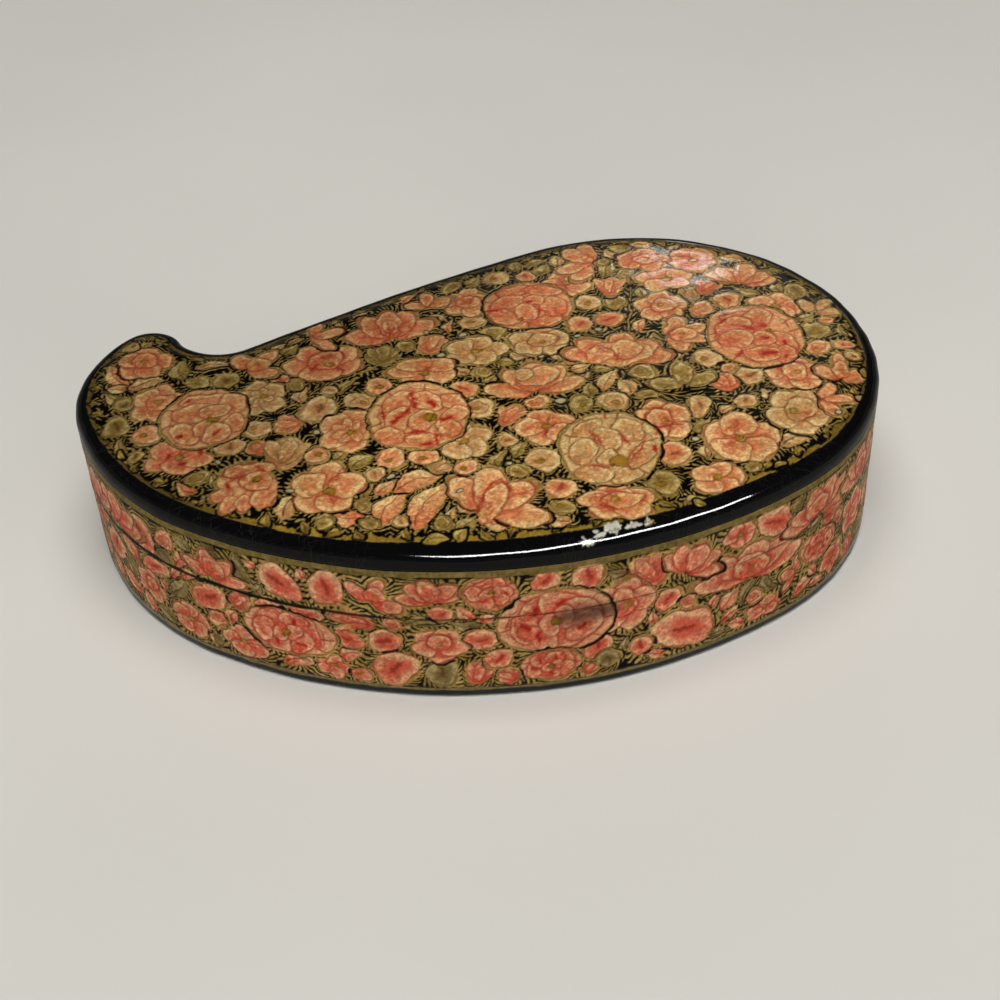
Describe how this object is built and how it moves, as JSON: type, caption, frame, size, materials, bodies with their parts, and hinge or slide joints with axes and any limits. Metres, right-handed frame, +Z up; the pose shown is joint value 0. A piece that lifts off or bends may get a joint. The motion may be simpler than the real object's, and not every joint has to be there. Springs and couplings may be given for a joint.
{
  "type": "papier mache box",
  "caption": "Low mango-shaped papier mache box with a lift-off lid over an inner collar, lacquered black inside and painted all over with dense small flowers.",
  "frame": {"origin": "under the middle of the outline's bounding box, on the surface that the box stands on", "axes": "+X along the length towards the round belly, +Y across towards the hollow flank, +Z up"},
  "size_m": [0.15, 0.0984, 0.0335],
  "materials": {
    "floral_lacquer": "hand-painted flowers under clear gloss varnish",
    "black_lacquer": "satin black lacquer"
  },
  "bodies": {
    "base": {"base_floor": "black_lacquer", "base_wall": "floral_lacquer", "collar": "black_lacquer"},
    "lid": {"lid_top": "floral_lacquer", "lid_wall": "floral_lacquer"}
  },
  "joints": [
    {"name": "lid_lift", "type": "slide", "parent": "base", "child": "lid", "axis": [0, 0, 1], "range_m": [0, 0.06]}
  ]
}
